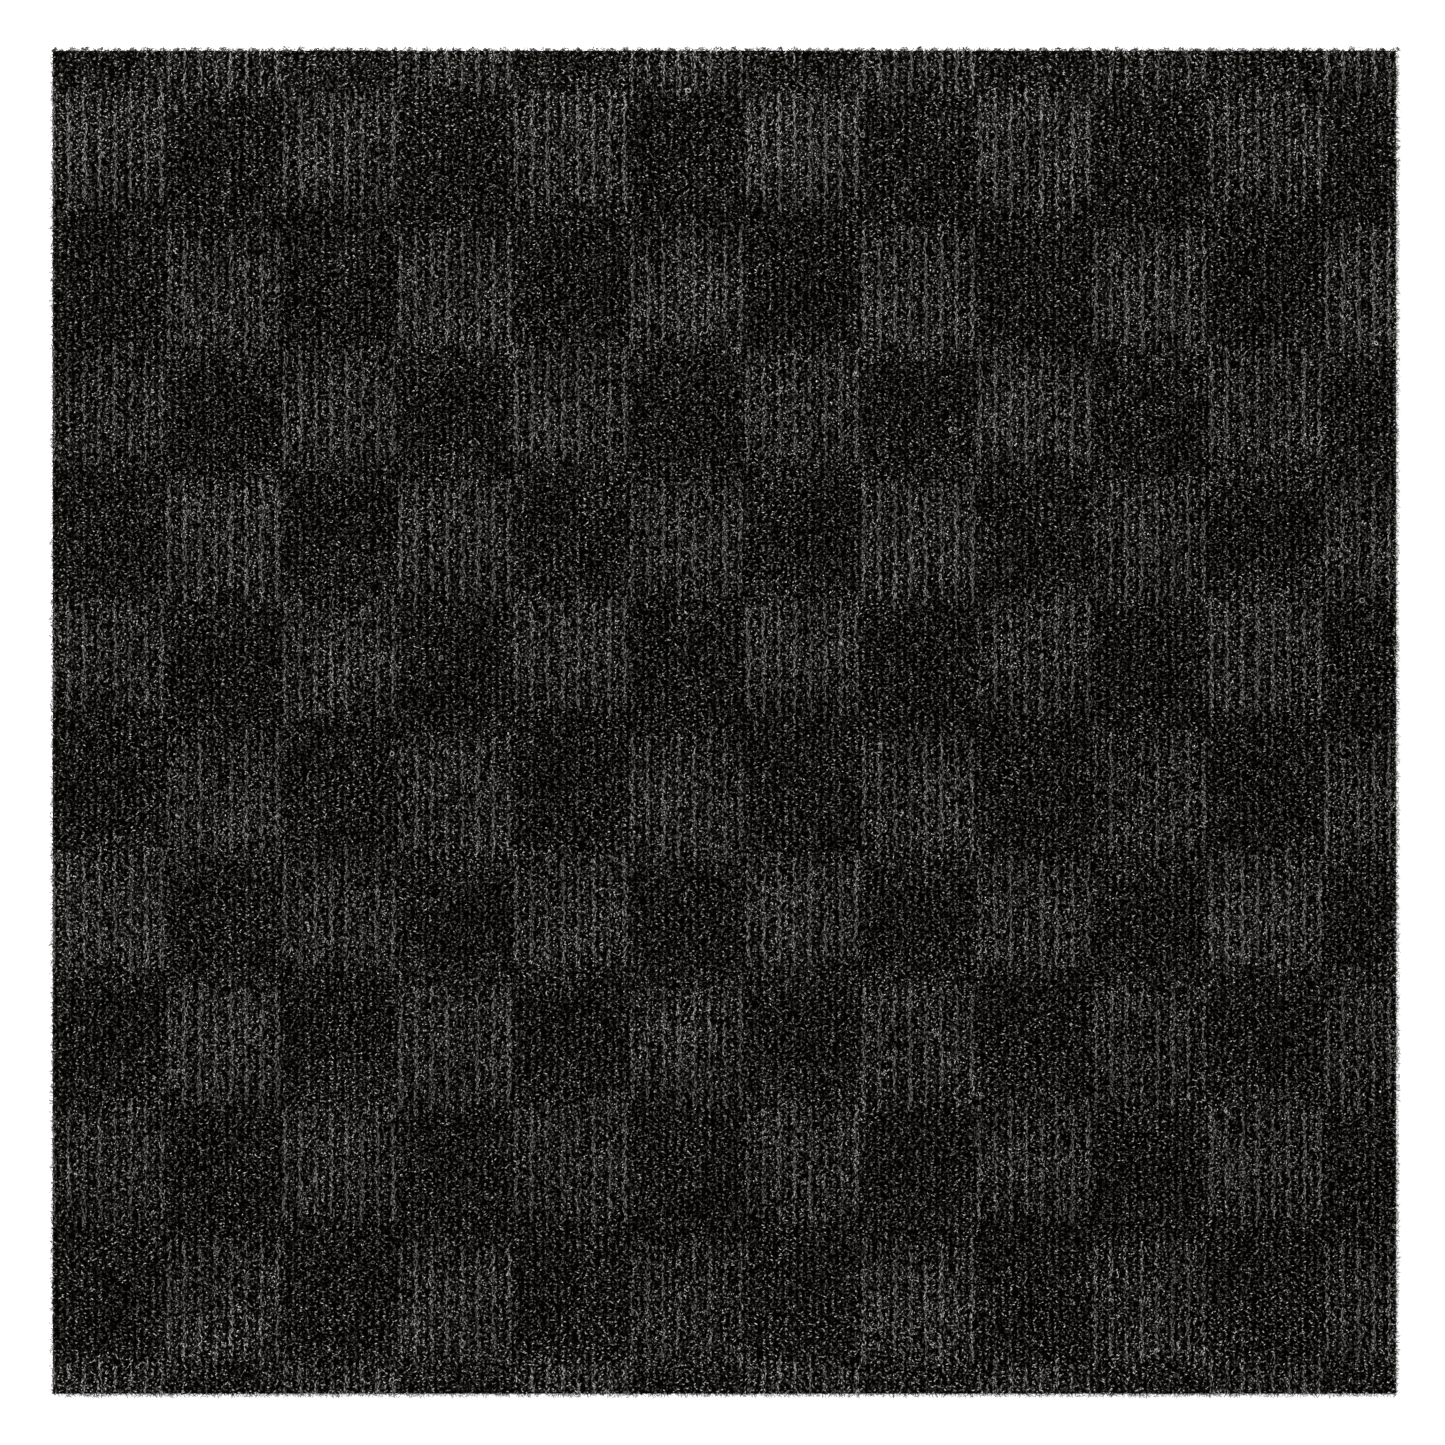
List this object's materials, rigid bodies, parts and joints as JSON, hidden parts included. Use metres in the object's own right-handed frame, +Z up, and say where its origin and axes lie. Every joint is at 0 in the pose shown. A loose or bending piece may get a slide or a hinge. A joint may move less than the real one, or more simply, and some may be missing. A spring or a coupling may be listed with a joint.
{
  "type": "carpet tile",
  "caption": "Square ribbed carpet tile with a checkerboard of light-ribbed and dark blocks, flat underside and straight cut edges.",
  "frame": {"origin": "centre of the underside, on the floor that the tile is laid on", "axes": "+Z up through the ribbed face, +Y along the ribs, +X across the ribs"},
  "size_m": [0.6096, 0.6096, 0.0063],
  "materials": {
    "carpet_fibre": "needle-punched, ribbed, matte"
  },
  "bodies": {
    "root": {"carpet_tile": "carpet_fibre"}
  },
  "joints": []
}
